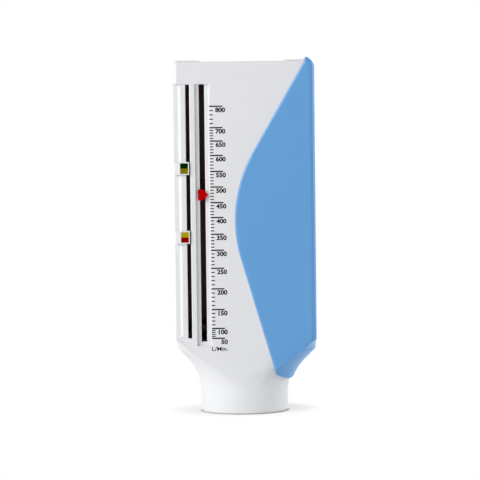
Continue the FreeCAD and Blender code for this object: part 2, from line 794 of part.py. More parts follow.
def zone_marker(name, height, colours):
    """A saddle clip on the rail with two coloured chips let into its face.

    Args:
        name: the clip's label.
        height: the expression of its middle.
        colours: the labels of the upper and the lower chip.
    """
    body = new_body(name)
    back = f"{RAIL_LEVEL} - slide_gap"
    front = f"{back} - marker_plate"
    foot_front = f"slide_gap - {DEPTH_IN}"
    foot_back = f"{foot_front} + marker_foot_thickness"
    leg = "marker_right - marker_leg"
    hook = f"{leg} - marker_foot"
    saddle = [
        ("marker_left", front),
        ("marker_right", front),
        ("marker_right", foot_back),
        (hook, foot_back),
        (hook, foot_front),
        (leg, foot_front),
        (leg, back),
        ("rail_crest - slide_gap", back),
        ("ledge_right - slide_gap", f"{LEDGE_LEVEL} - slide_gap"),
        ("marker_left", f"{LEDGE_LEVEL} - slide_gap"),
    ]
    sketch = outline(body, f"{name}_outline", "XY_Plane", f"{height} - marker_height / 2", saddle)
    pad(body, f"{name}_saddle", sketch, "marker_height")
    chips = [
        ("chip_left", f"{height} - chip_height"),
        ("chip_right", f"{height} - chip_height"),
        ("chip_right", f"{height} + chip_height"),
        ("chip_left", f"{height} + chip_height"),
    ]
    window = outline(body, f"{name}_window", "XZ_Plane", f"-({front}) - chip_depth", chips)
    pocket(body, f"{name}_recess", window, "2 * chip_depth")
    face = amount(front)
    edge_x = (amount("marker_left"), amount("marker_right"))
    half = amount("marker_height") / 2
    rounded(
        body,
        f"{name}_breaks",
        "marker_break",
        lambda m, run, length: near(m.y, face)
        and (near(m.x, edge_x[0]) or near(m.x, edge_x[1]) or near(abs(m.z - amount(height)), half)),
        "PartDesign::Chamfer",
        "Size",
    )
    x = ("chip_left", "chip_right")
    y = (front, f"{front} + chip_depth")
    upper = block(colours[0], x, y, (height, f"{height} + chip_height"))
    lower = block(colours[1], x, y, (f"{height} - chip_height", height))
    return [body, upper, lower]


def ring(name, outer, inner, z):
    """A round collar on the rod's axis."""
    solid = round_bar(f"{name}_solid", outer, z, ROD_X)
    hole = round_bar(f"{name}_hole", inner, (f"{z[0]} - wall", f"{z[1]} + wall"), ROD_X)
    return cut(name, solid, hole)


def chamber_plate(body, name, lift, thickness, gap):
    """A plate across the chamber, clear of its walls by a gap."""
    left, right = f"chamber_left + {gap}", f"{SIDE_IN} - {gap}"
    front, rear = f"{gap} - {DEPTH_IN}", f"{DEPTH_IN} - {gap}"
    corners = [(left, front), (right, front), (right, rear), (left, rear)]
    pad(body, name, outline(body, f"{name}_outline", "XY_Plane", lift, corners), thickness)
    rounded(body, f"{name}_rounds", "chamber_round", lambda m, run, length: upright(run, length))


def rod_foot_frame():
    """The open frame that fills the air passage: a border, a cross of bars and the rod's boss."""
    body = new_body("frame_body")
    chamber_plate(body, "frame_plate", "chamber_floor", "foot_thickness", "seat_gap")
    x_sides = (
        ("chamber_left + foot_border", f"{ROD_X} - foot_bar / 2"),
        (f"{ROD_X} + foot_bar / 2", f"{SIDE_IN} - foot_end"),
    )
    y_sides = ((f"foot_border - {DEPTH_IN}", "-foot_bar / 2"), ("foot_bar / 2", f"{DEPTH_IN} - foot_border"))
    under = "chamber_floor - foot_thickness"
    for column, x in enumerate(x_sides):
        for line, y in enumerate(y_sides):
            corners = [(x[0], y[0]), (x[1], y[0]), (x[1], y[1]), (x[0], y[1])]
            sketch = outline(body, f"window_outline_{column}{line}", "XY_Plane", under, corners)
            pocket(body, f"window_{column}{line}", sketch, "3 * foot_thickness")
    boss = ring_sketch(body, "boss_outline", "XY_Plane", "chamber_floor", ROD_X, "0", "foot_boss_radius")
    pad(body, "boss", boss, "foot_thickness")
    bore = ring_sketch(body, "bore_outline", "XY_Plane", under, ROD_X, "0", ROD_BORE)
    pocket(body, "bore", bore, "3 * foot_thickness")
    inside = -amount("wall + seat_gap")
    return common("rod_foot_frame", body, made("frame_room", flare_solid(inside, inside)))


def vane():
    """The plate that the breath lifts, with its hub, two crossed fins and the notch for the follower."""
    body = new_body("vane")
    chamber_plate(body, "vane_plate", VANE_UNDER, "vane_thickness", "vane_gap")
    notch_x = f"{SLOT_RIGHT} + carriage_side + pass_gap"
    notch_y = f"leaf_room + carriage_thickness + follower_reach + pass_gap - {DEPTH_IN}"
    far_x, far_y = "chamber_left - wall", f"-{DEPTH_IN} - wall"
    notch = [(far_x, far_y), (notch_x, far_y), (notch_x, notch_y), (far_x, notch_y)]
    sketch = outline(body, "notch_outline", "XY_Plane", f"{VANE_UNDER} - wall", notch)
    pocket(body, "follower_notch", sketch, "vane_thickness + 2 * wall")
    half = "fin_thickness / 2"
    inset = "(2 * vane_gap + foot_border)"
    long_fin = ((f"chamber_left + {inset}", f"-{half}"), (f"{SIDE_IN} - {inset}", half))
    short_fin = ((f"{ROD_X} - {half}", f"{inset} - {DEPTH_IN}"), (f"{ROD_X} + {half}", f"{DEPTH_IN} - {inset}"))
    for name, (near_corner, far_corner) in (("long_fin", long_fin), ("short_fin", short_fin)):
        (left, front), (right, rear) = near_corner, far_corner
        corners = [(left, front), (right, front), (right, rear), (left, rear)]
        sketch = outline(body, f"{name}_outline", "XY_Plane", f"{VANE_UNDER} - fin_height", corners)
        pad(body, name, sketch, "fin_height + vane_thickness / 2")
    hub = ring_sketch(body, "hub_outline", "XY_Plane", HUB_BOTTOM, ROD_X, "0", "hub_radius")
    pad(body, "hub", hub, f"{HUB_TOP} - {HUB_BOTTOM}")
    under = f"{HUB_BOTTOM} - wall"
    bore = ring_sketch(body, "hub_bore_outline", "XY_Plane", under, ROD_X, "0", "bush_radius")
    pocket(body, "hub_bore", bore, f"{HUB_TOP} - {HUB_BOTTOM} + 2 * wall")
    return body


def spring_seat():
    """The dished washer on the vane that keeps the spring in the middle."""
    far = f"{SPRING_FLOOR} + wall"
    dish = round_bar("seat_solid", "washer_radius", (VANE_TOP, f"{SPRING_FLOOR} + washer_thickness"), ROD_X)
    hole = round_bar("seat_hole", "hub_radius + rod_fit", (f"{VANE_TOP} - wall", far), ROD_X)
    hollow = round_bar("seat_hollow", "washer_radius - seat_rim", (SPRING_FLOOR, far), ROD_X)
    return cut("spring_seat", dish, hole, hollow)


def return_spring():
    """The long soft helix between the vane's seat and the top washer.

    The wire is square in the loft, with the round wire's cross-section area, and its turns are many-sided.
    """
    steps, sides = 10, 4
    low, high = amount(f"{SPRING_FLOOR} + wire_radius"), amount(f"{SPRING_CEILING} - wire_radius")
    middle = Vector(amount(ROD_X), 0, low)
    radius, half_diagonal = amount("spring_radius"), amount("wire_radius") * math.sqrt(math.pi / 2)
    count = round(amount("spring_turns") * steps)
    sections = []
    for index in range(count + 1):
        angle = 2 * math.pi * index / steps
        out = Vector(math.cos(angle), math.sin(angle), 0)
        centre = middle + out * radius + Vector(0, 0, (high - low) * index / count)
        corners = []
        for corner in range(sides):
            turn = 2 * math.pi * (corner + 0.5) / sides
            corners.append(centre + (out * math.cos(turn) + Vector(0, 0, math.sin(turn))) * half_diagonal)
        sections.append(Part.makePolygon(corners + corners[:1]))
    return made("return_spring", Part.makeLoft(sections, True, True))


def build():
    """Every piece of the meter, in the order in which it is put together."""
    form, front_shell, rear_shell = shells()
    pieces = [front_shell, rear_shell, grip_cover(form), pointer(), pointer_follower(), pointer_leaf()]
    for side, colours in (("upper", ("green", "yellow")), ("lower", ("yellow", "red"))):
        chips = [f"{side}_marker_{colour}_chip" for colour in colours]
        pieces += zone_marker(f"{side}_zone_marker", f"{side}_marker_z", chips)
    pieces += [vane(), rod_foot_frame(), spring_seat(), return_spring()]
    rod_ends = ("chamber_floor - rod_foot_reach", f"{CEILING} - slide_gap")
    rod = round_bar("guide_rod", "rod_radius", rod_ends, ROD_X)
    rings = {
        "rod_foot_clip": ("clip_radius", ROD_BORE, ("chamber_floor - clip_thickness", "chamber_floor")),
        "lower_bumper": ("bumper_radius", ROD_BORE, (FOOT_TOP, BUMPER_TOP)),
        "upper_bumper": ("hub_radius", ROD_BORE, (BUMPER_UNDER, SPRING_CEILING)),
        "spring_top_washer": ("washer_radius", ROD_BORE, (SPRING_CEILING, SOCKET_BOTTOM)),
        "rod_top_socket": ("socket_radius", ROD_BORE, (SOCKET_BOTTOM, CEILING)),
        "vane_bush": ("bush_radius", ROD_BORE, (BUSH_BOTTOM, HUB_TOP)),
        "vane_clip": ("bush_radius", f"({ROD_BORE} + pass_gap)", (HUB_BOTTOM, BUSH_BOTTOM)),
    }
    pieces.append(rod)
    pieces += [ring(name, *sizes) for name, sizes in rings.items()]
    return pieces


def checked(pieces):
    """Stops with a plain message if any object failed or a piece is not one sound solid."""
    doc.recompute()
    for thing in doc.Objects:
        if {"Invalid", "Error"} & set(thing.State):
            raise ValueError(f"{thing.Label} failed: {thing.State}")
    for piece in pieces:
        if piece.Shape.isNull() or not piece.Shape.isValid() or len(piece.Shape.Solids) != 1:
            raise ValueError(f"{piece.Label} is not one sound solid")
    return pieces


os.makedirs("parts", exist_ok=True)
for piece in checked(build()):
    piece.Shape.exportStep(f"parts/{piece.Label}.step")
    low, high = piece.Shape.BoundBox.ZMin, piece.Shape.BoundBox.ZMax
    print(f"{piece.Label}: {piece.Shape.Volume:.1f} mm3, z {low:.2f} to {high:.2f}")
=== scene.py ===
import logging
import math
from dataclasses import dataclass, field
from enum import Enum

import bpy
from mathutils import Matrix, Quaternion, Vector


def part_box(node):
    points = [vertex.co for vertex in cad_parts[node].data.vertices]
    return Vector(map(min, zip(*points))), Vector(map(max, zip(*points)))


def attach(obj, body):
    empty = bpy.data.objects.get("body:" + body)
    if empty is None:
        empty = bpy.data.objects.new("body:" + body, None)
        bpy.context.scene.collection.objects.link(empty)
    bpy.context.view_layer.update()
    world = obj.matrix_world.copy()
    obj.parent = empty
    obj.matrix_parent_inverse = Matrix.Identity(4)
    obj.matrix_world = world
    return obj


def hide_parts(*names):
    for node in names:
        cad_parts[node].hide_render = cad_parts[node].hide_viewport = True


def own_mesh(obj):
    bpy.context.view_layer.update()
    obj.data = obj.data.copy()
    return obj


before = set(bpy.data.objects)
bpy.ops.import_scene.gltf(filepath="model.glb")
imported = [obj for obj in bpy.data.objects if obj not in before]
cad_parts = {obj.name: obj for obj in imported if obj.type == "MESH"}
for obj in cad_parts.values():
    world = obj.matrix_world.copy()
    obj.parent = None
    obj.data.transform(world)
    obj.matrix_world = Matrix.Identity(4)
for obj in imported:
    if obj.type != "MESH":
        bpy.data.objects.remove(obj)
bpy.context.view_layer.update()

log = logging.getLogger("peak_flow_meter")

Triple = tuple[float, float, float]
Colour = Triple
Socket = bpy.types.NodeSocket

# The metres in a millimetre. Sizes in this file are in millimetres unless they say metres.
MM = 0.001
WHITE: Colour = (1.0, 1.0, 1.0)
EVEN: Triple = (1.0, 1.0, 1.0)
# Points nearer than this are one point when a mesh is shaded round.
SAME_POINT = 0.002
BEVEL_SAMPLES = 6


class Body(Enum):
    """The bodies of the frame that new pieces ride on."""

    HOUSING = "housing"


# Node graphs


class Graph:
    """A material's node graph, with short ways to add what the finishes share.

    Its lengths are in millimetres.
    """

    def __init__(self, name: str) -> None:
        """Starts an empty graph.

        Args:
            name: the material's name.
        """
        self.material = bpy.data.materials.new(name)
        self.material.use_nodes = True
        self.tree = self.material.node_tree
        self.tree.nodes.clear()
        self._place: Socket | None = None
        self._axes: bpy.types.Node | None = None

    def add(self, kind: str, **settings: object) -> bpy.types.Node:
        """Adds a node.

        Args:
            kind: the node's type.
            settings: properties to set on it.

        Returns:
            The node.
        """
        node = self.tree.nodes.new(kind)
        for key, value in settings.items():
            setattr(node, key, value)
        return node

    def feed(self, target: Socket, source: object) -> None:
        """Links a socket to a target, or sets the target to a plain value.

        Args:
            target: the input that takes it.
            source: an output, a number or a colour.
        """
        if isinstance(source, Socket):
            self.tree.links.new(source, target)
        elif isinstance(source, tuple) and len(source) == 3 and target.type == "RGBA":
            target.default_value = (*source, 1.0)
        else:
            target.default_value = source

    def place(self) -> Socket:
        """The point on the piece, in the frame in which it was made.

        Returns:
            The point's socket.
        """
        if self._place is None:
            coordinates = self.add("ShaderNodeTexCoord")
            scaled = self.add("ShaderNodeVectorMath", operation="SCALE")
            self.feed(scaled.inputs[0], coordinates.outputs["Object"])
            scaled.inputs["Scale"].default_value = 1 / MM
            self._place = scaled.outputs[0]
        return self._place

    def along(self, axis: str) -> Socket:
        """The point's distance along one axis.

        Args:
            axis: X, Y or Z.

        Returns:
            The distance's socket.
        """
        if self._axes is None:
            self._axes = self.add("ShaderNodeSeparateXYZ")
            self.feed(self._axes.inputs[0], self.place())
        return self._axes.outputs[axis]

    def calc(self, operation: str, first: object, second: object = 0.0) -> Socket:
        """The result of one math step.

        Args:
            operation: Blender's name of the step.
            first: its first value.
            second: its second value.

        Returns:
            The result's socket.
        """
        node = self.add("ShaderNodeMath", operation=operation)
        self.feed(node.inputs[0], first)
        self.feed(node.inputs[1], second)
        return node.outputs[0]

    def reach(self, half_sizes: tuple[float, float], back: float = 0.0) -> Socket:
        """How far out a point on the floor is, where 1 is on an ellipse.

        Args:
            half_sizes: the ellipse's half width and half depth.
            back: how far behind the middle the ellipse is.

        Returns:
            The distance's socket.
        """
        across = self.calc("DIVIDE", self.along("X"), half_sizes[0])
        deep = self.calc("DIVIDE", self.calc("SUBTRACT", self.along("Y"), back), half_sizes[1])
        squares = (self.calc("POWER", part, 2.0) for part in (across, deep))
        return self.calc("SQRT", self.calc("ADD", *squares))

    def step(self, value: object, low: float, high: float) -> Socket:
        """A smooth step from 0 at one value to 1 at another.

        Args:
            value: what is compared.
            low: where the step is 0.
            high: where the step is 1, and it may be the lower of the two.

        Returns:
            The step's socket.
        """
        node = self.add("ShaderNodeMapRange", interpolation_type="SMOOTHSTEP")
        self.feed(node.inputs["Value"], value)
        ends = (low, high, 0.0, 1.0) if low < high else (high, low, 1.0, 0.0)
        for name, end in zip(("From Min", "From Max", "To Min", "To Max"), ends):
            node.inputs[name].default_value = end
        return node.outputs["Result"]

    def between(self, value: object, low: float, high: float) -> Socket:
        """A value from 0 to 1 stretched to another range.

        Args:
            value: the value.
            low: what 0 becomes.
            high: what 1 becomes.

        Returns:
            The stretched value's socket.
        """
        return self.calc("ADD", self.calc("MULTIPLY", value, high - low), low)

    def noise(
        self, size: float, detail: float = 2.0, stretch: Triple = EVEN, seed: float = 0.0
    ) -> Socket:
        """Soft noise from 0 to 1.

        Args:
            size: how far apart its patches are.
            detail: how many finer layers it has.
            stretch: how much it is packed along each axis.
            seed: which noise it is.

        Returns:
            The noise's socket.
        """
        point = self.place()
        if stretch != EVEN:
            node = self.add("ShaderNodeVectorMath", operation="MULTIPLY")
            self.feed(node.inputs[0], point)
            node.inputs[1].default_value = stretch
            point = node.outputs[0]
        noise = self.add("ShaderNodeTexNoise", noise_dimensions="4D")
        self.feed(noise.inputs["Vector"], point)
        noise.inputs["W"].default_value = seed
        noise.inputs["Scale"].default_value = 1 / size
        noise.inputs["Detail"].default_value = detail
        return noise.outputs["Fac"]

    def blend(self, share: object, first: object, second: object) -> Socket:
        """A mix of two colours.

        Args:
            share: the second one's share.
            first: the colour at 0.
            second: the colour at 1.

        Returns:
            The mixed colour's socket.
        """
        node = self.add("ShaderNodeMix", data_type="RGBA")
        self.feed(node.inputs["Factor"], share)
        self.feed(node.inputs[6], first)
        self.feed(node.inputs[7], second)
        return node.outputs[2]

    def surface(self, height: Socket | None, edge: float, **values: object) -> bpy.types.Material:
        """Ends the graph in a surface shader.

        Args:
            height: the relief in millimetres, if any.
            edge: how far sharp edges are shaded round, in millimetres.
            values: the shader's inputs, with spaces in their names as underscores.

        Returns:
            The material.
        """
        shader = self.add("ShaderNodeBsdfPrincipled")
        for name, value in values.items():
            self.feed(shader.inputs[name.replace("_", " ")], value)
        normal = None
        if edge:
            bevel = self.add("ShaderNodeBevel", samples=BEVEL_SAMPLES)
            bevel.inputs["Radius"].default_value = edge * MM
            normal = bevel.outputs["Normal"]
        if height is not None:
            bump = self.add("ShaderNodeBump")
            bump.inputs["Strength"].default_value = 1.0
            bump.inputs["Distance"].default_value = MM
            self.feed(bump.inputs["Height"], height)
            if normal is not None:
                self.feed(bump.inputs["Normal"], normal)
            normal = bump.outputs["Normal"]
        if normal is not None:
            self.feed(shader.inputs["Normal"], normal)
        output = self.add("ShaderNodeOutputMaterial")
        self.feed(output.inputs["Surface"], shader.outputs["BSDF"])
        return self.material


# Finishes


def darker(colour: Colour, share: float) -> Colour:
    """A colour made darker by a share."""
    red, green, blue = (part * (1 - share) for part in colour)
    return red, green, blue


@dataclass(frozen=True)
class MouldedPlastic:
    """Moulded plastic: a colour that wanders slightly, a fine tool grain and uneven gloss.

    Attributes:
        colour: its lightest colour.
        roughness: its mean roughness.
        wander: how much darker its darkest patches are, as a share.
        patch: how far apart the patches of colour are.
        smudges: how many patches of gloss there are for one of colour.
        uneven: how much the roughness changes both ways, as a share.
        grain: how far apart the tool's marks are.
        grain_depth: how deep they are.
        edge: how far sharp edges are shaded round.
        specular: the level of its reflection.
    """

    colour: Colour
    roughness: float = 0.35
    wander: float = 0.03
    patch: float = 14.0
    smudges: float = 3.0
    uneven: float = 0.12
    grain: float = 0.22
    grain_depth: float = 0.002
    edge: float = 0.12
    specular: float = 0.5

    def tint(self, graph: Graph) -> Socket:
        """The colour at each point."""
        slow = graph.noise(self.patch, detail=3.0)
        return graph.blend(slow, darker(self.colour, self.wander), self.colour)

    def relief(self, graph: Graph) -> Socket:
        """The height at each point, in millimetres."""
        marks = graph.noise(self.grain, detail=3.0, seed=2.0)
        return graph.calc("MULTIPLY", marks, self.grain_depth)

    def gloss(self, graph: Graph) -> Socket:
        """The roughness at each point."""
        smudge = graph.noise(self.patch / self.smudges, detail=4.0, seed=5.0)
        low, high = (self.roughness * (1 + side * self.uneven) for side in (-1, 1))
        return graph.between(smudge, low, high)

    def make(self, name: str) -> bpy.types.Material:
        """The finished material.

        Args:
            name: the material's name.

        Returns:
            The material.
        """
        graph = Graph(name)
        return graph.surface(
            self.relief(graph),
            self.edge,
            Base_Color=self.tint(graph),
            Roughness=self.gloss(graph),
            Specular_IOR_Level=self.specular,
        )


@dataclass(frozen=True)
class ChipPlastic(MouldedPlastic):
    """The deep, dull colour of a zone marker's chip."""

    roughness: float = 0.45
    wander: float = 0.06
    patch: float = 1.5
    grain: float = 0.1
    specular: float = 0.0


@dataclass(frozen=True)
class CreasedPlastic(MouldedPlastic):
    """Plastic on which the crease over the mouth tube is shaded as a soft bend.

    Attributes:
        crease_base: with crease_bend, how high the crease's lowest point is.
        crease_bend: how wide the crease turns at its lowest point.
        crease_rise: how steeply it climbs on both sides.
        crease_reach: how far the bend is felt above and below it.
        crease_turn: how much the surface turns at the lowest point.
        crease_spread: how much more it turns with each millimetre further out.
    """

    crease_base: float = 9.3
    crease_bend: float = 3.5
    crease_rise: float = 0.8
    crease_reach: float = 3.0
    crease_turn: float = 0.06
    crease_spread: float = 0.021

    def crease(self, graph: Graph) -> Socket:
        """How much the surface is dipped along the crease.

        Args:
            graph: the material's graph.

        Returns:
            The dip's socket.
        """
        out = graph.calc("ABSOLUTE", graph.along("X"))
        across = graph.calc("POWER", graph.calc("MULTIPLY", out, self.crease_rise), 2.0)
        curve = graph.calc("SQRT", graph.calc("ADD", across, self.crease_bend**2))
        level = graph.calc("ADD", curve, self.crease_base)
        away = graph.calc("ABSOLUTE", graph.calc("SUBTRACT", graph.along("Z"), level))
        share = graph.calc("EXPONENT", graph.calc("DIVIDE", away, -self.crease_reach))
        turn = graph.calc("ADD", graph.calc("MULTIPLY", out, self.crease_spread), self.crease_turn)
        return graph.calc("MULTIPLY", graph.calc("MULTIPLY", share, turn), self.crease_reach)

    def relief(self, graph: Graph) -> Socket:
        """The height at each point, in millimetres."""
        return graph.calc("SUBTRACT", super().relief(graph), self.crease(graph))


@dataclass(frozen=True)
class HousingPlastic(CreasedPlastic):
    """The housing's white plastic, with the line where its halves meet and painted shade inside.

    Attributes:
        inner: the painted shade on the room's walls, far darker than the housing's white, which the
            slots show.
        inner_side: how far out the room reaches to both sides.
        inner_depth: how far it reaches to the front and the back.
        inner_floor: where its colour begins and where it is full, from the foot up.
        inner_throat: how far out it reaches below throat_top.
        throat_top: where the wider part begins and where it is full.
        inner_top: how high the room is.
        seam_half: half the width of the line between the halves.
        seam_soft: how far out from its middle the line fades.
        seam_depth: how deep it is.
        seam_shade: how much darker it is, as a share.
    """

    # Painted shade: the walls of the room inside are coloured a dark reddish brown, so the slots
    # show shade.
    inner: Colour = (0.350, 0.125, 0.155)
    inner_side: float = 27.56
    inner_depth: float = 12.86
    inner_floor: tuple[float, float] = (25.5, 30.5)
    inner_throat: float = 21.0
    throat_top: tuple[float, float] = (33.35, 33.45)
    inner_top: float = 152.2
    seam_half: float = 0.05
    seam_soft: float = 0.11
    seam_depth: float = 0.05
    seam_shade: float = 0.35

    def seam(self, graph: Graph) -> Socket:
        """How near a point is to the line between the halves."""
        return graph.step(graph.calc("ABSOLUTE", graph.along("Y")), self.seam_soft, self.seam_half)

    def inside(self, graph: Graph) -> Socket:
        """Whether a point is in the chamber or the marker bay.

        Args:
            graph: the material's graph.

        Returns:
            A socket that is 1 inside and 0 outside.
        """
        wide = graph.step(graph.along("Z"), *self.throat_top)
        reach = graph.between(wide, self.inner_throat, self.inner_side)
        sides = graph.calc("LESS_THAN", graph.calc("ABSOLUTE", graph.along("X")), reach)
        depth = graph.calc("LESS_THAN", graph.calc("ABSOLUTE", graph.along("Y")), self.inner_depth)
        below = graph.calc("LESS_THAN", graph.along("Z"), self.inner_top)
        above = graph.step(graph.along("Z"), *self.inner_floor)
        level = graph.calc("MULTIPLY", below, above)
        return graph.calc("MULTIPLY", graph.calc("MULTIPLY", sides, depth), level)

    def tint(self, graph: Graph) -> Socket:
        """The colour at each point.

        Args:
            graph: the material's graph.

        Returns:
            The colour's socket.
        """
        plain = super().tint(graph)
        seamed = graph.blend(self.seam(graph), plain, darker(self.colour, self.seam_shade))
        # Painted shade: inside the room the colour is inner, not the housing's white.
        return graph.blend(self.inside(graph), seamed, self.inner)

    def relief(self, graph: Graph) -> Socket:
        """The height at each point, in millimetres."""
        groove = graph.calc("MULTIPLY", self.seam(graph), self.seam_depth)
        return graph.calc("SUBTRACT", super().relief(graph), groove)


@dataclass(frozen=True)
class DrawnSteel:
    """Steel drawn or turned along one axis, with fine lines and slight clouding.

    Attributes:
        colour: its lightest colour.
        roughness: its mean roughness.
        gloss: the roughness at both ends of its range, as shares of the mean.
        lines: how closely the lines are packed along each axis.
        line_depth: how deep they are.
        cloud: how far apart the clouds are.
        clouding: how much darker they are, as a share.
    """

    colour: Colour
    roughness: float = 0.28
    gloss: tuple[float, float] = (0.8, 1.25)
    lines: Triple = (9.0, 9.0, 0.4)
    line_depth: float = 0.001
    cloud: float = 6.0
    clouding: float = 0.12

    def make(self, name: str) -> bpy.types.Material:
        """The finished material.

        Args:
            name: the material's name.

        Returns:
            The material.
        """
        graph = Graph(name)
        drawn = graph.noise(1.0, detail=3.0, stretch=self.lines)
        cloud = graph.noise(self.cloud, seed=3.0)
        tint = graph.blend(cloud, darker(self.colour, self.clouding), self.colour)
        rough = graph.between(drawn, *(self.roughness * share for share in self.gloss))
        relief = graph.calc("MULTIPLY", drawn, self.line_depth)
        return graph.surface(relief, 0.0, Base_Color=tint, Roughness=rough, Metallic=1.0)


@dataclass(frozen=True)
class SoftRubber:
    """Dull dark rubber with a dusty bloom.

    Attributes:
        colour: the bare rubber's colour.
        bloom: the dust's colour.
        patch: how far apart the patches of dust are.
        dust: where the patches begin and where they are full, from 0 to 1.
        roughness: the roughness where there is no dust and where there is most.
        pit: how far apart the pits are.
        pit_depth: how deep they are.
        edge: how far sharp edges are shaded round.
    """

    colour: Colour = (0.022, 0.022, 0.024)
    bloom: Colour = (0.06, 0.06, 0.062)
    patch: float = 1.6
    dust: tuple[float, float] = (0.45, 0.8)
    roughness: tuple[float, float] = (0.62, 0.85)
    pit: float = 0.12
    pit_depth: float = 0.004
    edge: float = 0.1

    def make(self, name: str) -> bpy.types.Material:
        """The finished material.

        Args:
            name: the material's name.

        Returns:
            The material.
        """
        graph = Graph(name)
        dust = graph.noise(self.patch, detail=5.0)
        pits = graph.noise(self.pit, detail=3.0, seed=1.0)
        relief = graph.calc("MULTIPLY", pits, self.pit_depth)
        tint = graph.blend(graph.step(dust, *self.dust), self.colour, self.bloom)
        rough = graph.between(dust, *self.roughness)
        return graph.surface(relief, self.edge, Base_Color=tint, Roughness=rough)


@dataclass(frozen=True)
class PadInk:
    """Pad-printed black ink, a little uneven in cover.

    Attributes:
        colour: the colour of full cover.
        thin: the colour of thin cover.
        patch: how far apart the thin patches are.
        cover: where they begin and where they are thinnest, from 0 to 1.
        roughness: the roughness of full and of thin cover.
        specular: the level of its reflection.
    """

    colour: Colour = (0.004, 0.004, 0.005)
    thin: Colour = (0.016, 0.016, 0.018)
    patch: float = 0.35
    cover: tuple[float, float] = (0.5, 0.75)
    roughness: tuple[float, float] = (0.5, 0.65)
    specular: float = 0.15

    def make(self, name: str) -> bpy.types.Material:
        """The finished material.

        Args:
            name: the material's name.

        Returns:
            The material.
        """
        graph = Graph(name)
        cover = graph.noise(self.patch, detail=4.0)
        tint = graph.blend(graph.step(cover, *self.cover), self.colour, self.thin)
        rough = graph.between(cover, *self.roughness)
        values = {"Base_Color": tint, "Roughness": rough, "Specular_IOR_Level": self.specular}
        return graph.surface(None, 0.0, **values)


class Finish(Enum):
    """The meter's finishes."""

    HOUSING_WHITE = HousingPlastic((0.82, 0.825, 0.84), roughness=0.38)
    COVER_BLUE = CreasedPlastic(
        (0.120, 0.358, 0.705),
        roughness=0.32,
        wander=0.02,
        patch=30.0,
        crease_base=7.7,
        crease_turn=0.03,
        crease_spread=0.006,
    )
    POINTER_RED = MouldedPlastic(
        (0.47, 0.001, 0.002), roughness=0.4, wander=0.06, patch=2.0, specular=0.02
    )
    FOLLOWER_BLACK = MouldedPlastic((0.030, 0.013, 0.018), roughness=0.6, specular=0.1)
    MARKER_WHITE = MouldedPlastic((0.90, 0.90, 0.91), roughness=0.3, wander=0.02, patch=3.0)
    CHIP_GREEN = ChipPlastic((0.0005, 0.018, 0.001))
    CHIP_OLIVE = ChipPlastic((0.235, 0.19, 0.001))
    CHIP_YELLOW = ChipPlastic((0.42, 0.37, 0.006))
    CHIP_RED = ChipPlastic((0.26, 0.001, 0.002))
    VANE_PLASTIC = MouldedPlastic((0.050, 0.018, 0.026), roughness=0.5, specular=0.2)
    FRAME_PLASTIC = MouldedPlastic((0.72, 0.73, 0.75), roughness=0.45)
    BUSH_PLASTIC = MouldedPlastic((0.75, 0.73, 0.66), roughness=0.4, patch=4.0)
    ROD_STEEL = DrawnSteel((0.62, 0.62, 0.63))
    SPRING_STEEL = DrawnSteel((0.50, 0.50, 0.52), roughness=0.3, lines=(6.0, 6.0, 6.0))
    BLUED_STEEL = DrawnSteel((0.013, 0.005, 0.007), roughness=0.65)
    BUMPER_RUBBER = SoftRubber()
    SCALE_INK = PadInk()

    def material(self) -> bpy.types.Material:
        """The finish's material, made once."""
        name = f"{self.name.lower()}_finish"
        return bpy.data.materials.get(name) or self.value.make(name)


# Meshes


def softened(piece: bpy.types.Object, limit: float) -> None:
    """Shades a mesh round over the edges that bend less than a limit. Its points stay as they are.

    Args:
        piece: the mesh object.
        limit: the largest bend that is shaded round, in degrees.
    """
    mesh = piece.data
    least = math.cos(math.radians(limit))
    around: dict[tuple[int, int, int], list[tuple[Vector, float]]] = {}
    spots = [tuple(round(c / (SAME_POINT * MM)) for c in v.co) for v in mesh.vertices]
    for face in mesh.polygons:
        for index in face.vertices:
            around.setdefault(spots[index], []).append((face.normal.copy(), face.area))
    normals = [Vector((0.0, 0.0, 1.0))] * len(mesh.loops)
    for face in mesh.polygons:
        for loop in face.loop_indices:
            total = Vector()
            for normal, area in around[spots[mesh.loops[loop].vertex_index]]:
                if normal.dot(face.normal) > least:
                    total += normal * area
            normals[loop] = total.normalized() if total.length else face.normal.copy()
    for face in mesh.polygons:
        face.use_smooth = True
    mesh.normals_split_custom_set([tuple(normal) for normal in normals])


def dressed(name: str, finish: Finish, limit: float = 35.0) -> None:
    """Gives a node of the frame its finish and its smooth shading.

    Args:
        name: the node's name.
        finish: its finish.
        limit: the largest bend that is shaded round, in degrees.
    """
    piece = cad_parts[name]
    piece.data.materials.clear()
    piece.data.materials.append(finish.material())
    for face in piece.data.polygons:
        face.material_index = 0
    softened(piece, limit)
    log.info("%s: %s", name, finish.name.lower())


def added(
    name: str,
    points: list[Vector],
    faces: list[tuple[int, ...]],
    finish: Finish,
    body: Body,
) -> bpy.types.Object:
    """Makes a new piece that rides on a body.

    Args:
        name: the piece's name.
        points: its points, in metres.
        faces: its faces.
        finish: its finish.
        body: what it rides on.

    Returns:
        The piece.
    """
    mesh = bpy.data.meshes.new(name)
    mesh.from_pydata(points, [], faces)
    mesh.update()
    mesh.materials.append(finish.material())
    piece = bpy.data.objects.new(name, mesh)
    bpy.context.scene.collection.objects.link(piece)
    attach(piece, body.value)
    log.info("%s: new piece on %s", name, body.value)
    return piece


# Sub-assemblies


@dataclass
class Housing:
    """The two white halves of the housing, on which bends below 30 degrees are shaded round."""

    bend: float = 30.0

    def build(self) -> None:
        """Dresses both halves."""
        for name in ("front_shell", "rear_shell"):
            dressed(name, Finish.HOUSING_WHITE, self.bend)


@dataclass
class GripCover:
    """The blue cover round the housing's right side, with bends below 35 degrees shaded round."""

    bend: float = 35.0

    def build(self) -> None:
        """Dresses the cover."""
        dressed("grip_cover", Finish.COVER_BLUE, self.bend)


